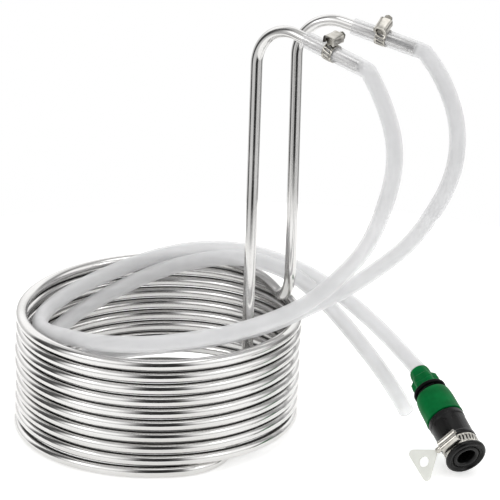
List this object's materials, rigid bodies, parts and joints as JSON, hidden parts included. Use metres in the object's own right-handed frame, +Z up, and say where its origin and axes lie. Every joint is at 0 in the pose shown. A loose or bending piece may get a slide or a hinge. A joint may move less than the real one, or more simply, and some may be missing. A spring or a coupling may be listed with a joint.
{
  "type": "immersion wort chiller",
  "caption": "Coil of bright steel tube with two tall bent risers, two clamped clear hoses and a quick connector with a clamped tap adaptor, for cooling hot wort.",
  "frame": {"origin": "centre of the underside of the steel coil, risers and riser clamps", "axes": "+Z up the risers, +X towards the side that the risers' outlets and the hoses bend to, -Y towards the side that the tap mouth faces"},
  "size_m": [0.3899, 0.2486, 0.3695],
  "materials": {
    "polished_steel": "bright drawn stainless steel",
    "clamp_steel": "bright plated steel",
    "spring_steel": "plain spring wire",
    "clear_hose": "milky translucent silicone",
    "green_plastic": "moulded green plastic, satin",
    "black_plastic": "moulded black plastic, satin",
    "claw_plastic": "natural acetal",
    "key_plastic": "pale translucent plastic",
    "black_rubber": "black rubber"
  },
  "bodies": {
    "chiller": {"coil_tube": "polished_steel", "inlet_clamp_band": "clamp_steel", "inlet_clamp_housing": "clamp_steel", "drain_clamp_band": "clamp_steel", "drain_clamp_housing": "clamp_steel", "inlet_hose": "clear_hose", "inlet_hose_cuff": "clear_hose", "drain_hose": "clear_hose", "drain_hose_cuff": "clear_hose", "connector_body": "black_plastic", "sleeve_spring": "spring_steel"},
    "inlet_screw": {"inlet_clamp_screw": "clamp_steel"},
    "drain_screw": {"drain_clamp_screw": "clamp_steel"},
    "nut": {"hose_nut": "green_plastic", "hose_grip_ring": "black_plastic"},
    "sleeve": {"release_sleeve": "green_plastic"},
    "claw_1": {"lock_claw_1": "claw_plastic"},
    "claw_2": {"lock_claw_2": "claw_plastic"},
    "claw_3": {"lock_claw_3": "claw_plastic"},
    "adaptor": {"tap_nipple": "black_plastic", "nipple_seal_ring": "black_rubber", "tap_adaptor": "black_rubber", "mouth_insert": "black_rubber", "tap_clamp_band": "clamp_steel", "tap_clamp_housing": "clamp_steel"},
    "key": {"tap_clamp_screw": "clamp_steel", "wing_key": "key_plastic"}
  },
  "joints": [
    {"name": "inlet_clamp_screw_turn", "type": "hinge", "parent": "chiller", "child": "inlet_screw", "pos_m": [0.09715, -0.09575, 0.36385], "axis": [0.6445, 0.7599, 0.085], "continuous": true},
    {"name": "drain_clamp_screw_turn", "type": "hinge", "parent": "chiller", "child": "drain_screw", "pos_m": [0.13788, -0.04012, 0.35758], "axis": [0.4587, 0.7614, 0.458], "continuous": true},
    {"name": "hose_nut_turn", "type": "hinge", "parent": "chiller", "child": "nut", "pos_m": [0.17042, -0.01971, 0.05811], "axis": [0.35, -0.8491, -0.3955], "range_deg": [-540, 0]},
    {"name": "release_sleeve_slide", "type": "slide", "parent": "chiller", "child": "sleeve", "axis": [-0.35, 0.8491, 0.3955], "range_m": [0, 0.0032], "stiffness_N_per_m": 1200, "springref_m": -0.003},
    {"name": "lock_claw_1_slide", "type": "slide", "parent": "chiller", "child": "claw_1", "axis": [0.1507, -0.3657, 0.9184], "range_m": [0, 0.00121]},
    {"name": "lock_claw_2_slide", "type": "slide", "parent": "chiller", "child": "claw_2", "axis": [-0.876, -0.1472, -0.4592], "range_m": [0, 0.00121]},
    {"name": "lock_claw_3_slide", "type": "slide", "parent": "chiller", "child": "claw_3", "axis": [0.7253, 0.5129, -0.4592], "range_m": [0, 0.00121]},
    {"name": "adaptor_swivel", "type": "hinge", "parent": "chiller", "child": "adaptor", "pos_m": [0.19667, -0.0834, 0.02845], "axis": [0.35, -0.8491, -0.3955], "continuous": true},
    {"name": "tap_clamp_key_turn", "type": "hinge", "parent": "adaptor", "child": "key", "pos_m": [0.19338, -0.11326, 0.03123], "axis": [-0.7307, 0.0168, -0.6825], "continuous": true}
  ],
  "couplings": [
    {"joint": "lock_claw_1_slide", "follows": "release_sleeve_slide", "ratio": 0.375},
    {"joint": "lock_claw_2_slide", "follows": "release_sleeve_slide", "ratio": 0.375},
    {"joint": "lock_claw_3_slide", "follows": "release_sleeve_slide", "ratio": 0.375}
  ]
}
